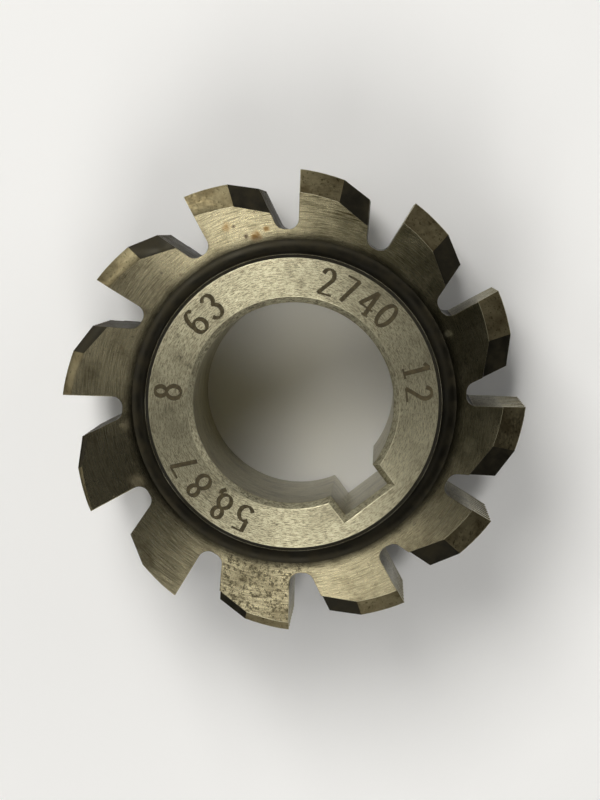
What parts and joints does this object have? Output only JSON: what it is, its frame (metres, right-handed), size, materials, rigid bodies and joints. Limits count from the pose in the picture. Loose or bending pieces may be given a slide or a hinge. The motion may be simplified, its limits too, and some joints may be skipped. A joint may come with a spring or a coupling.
{
  "type": "gear hob",
  "caption": "Right-hand gear hob: relieved rack teeth wound round a keyed bore, cut by straight chip gashes, with a ground collar at each end.",
  "frame": {"origin": "centre of the bore in the plain collar face, which the hob stands on", "axes": "+Z along the bore towards the marked collar face, +X through the middle of the keyway"},
  "size_m": [0.0622, 0.0622, 0.04],
  "materials": {
    "hob_steel": "ground high-speed steel"
  },
  "bodies": {
    "root": {"hob": "hob_steel"}
  },
  "joints": []
}
